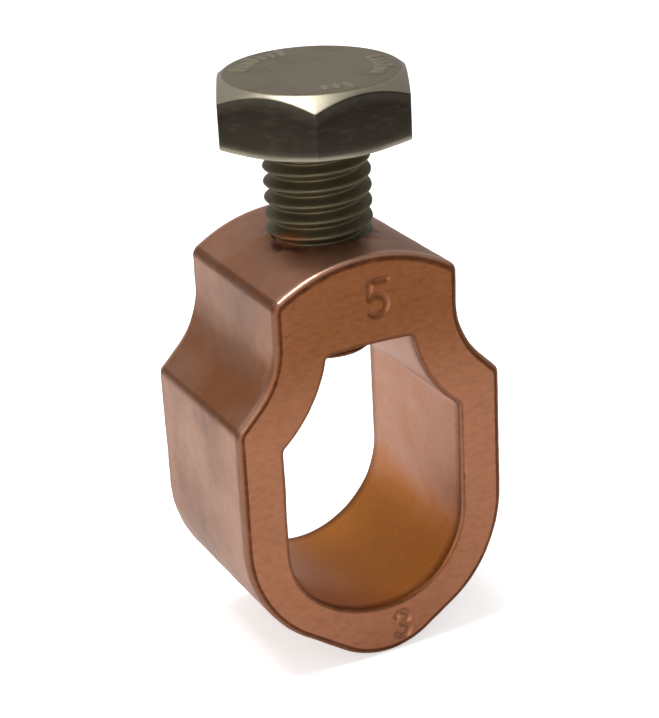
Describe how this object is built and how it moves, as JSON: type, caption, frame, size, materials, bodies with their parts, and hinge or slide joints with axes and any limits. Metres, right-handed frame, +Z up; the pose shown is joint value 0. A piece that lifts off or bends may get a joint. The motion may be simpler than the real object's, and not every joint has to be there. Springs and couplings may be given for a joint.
{
  "type": "earth rod clamp",
  "caption": "Cast copper-alloy keyhole shackle with a pointed foot and one hexagon screw in its crown, which clamps an earth rod and conductor.",
  "frame": {"origin": "centre of the round rod seat, halfway along the rod", "axes": "+Y along the rod, +Z up the clamp screw towards its head, +X across the opening"},
  "size_m": [0.0272, 0.0182, 0.0559],
  "materials": {
    "copper_alloy": "satin as-cast copper alloy, lightly tumbled",
    "stainless_steel": "plain bright stainless steel"
  },
  "bodies": {
    "shackle": {"clamp_body": "copper_alloy"},
    "screw": {"clamp_screw": "stainless_steel"}
  },
  "joints": [
    {"name": "screw_travel", "type": "slide", "parent": "shackle", "child": "screw", "axis": [0, 0, 1], "range_m": [-0.009, 0.009]}
  ]
}
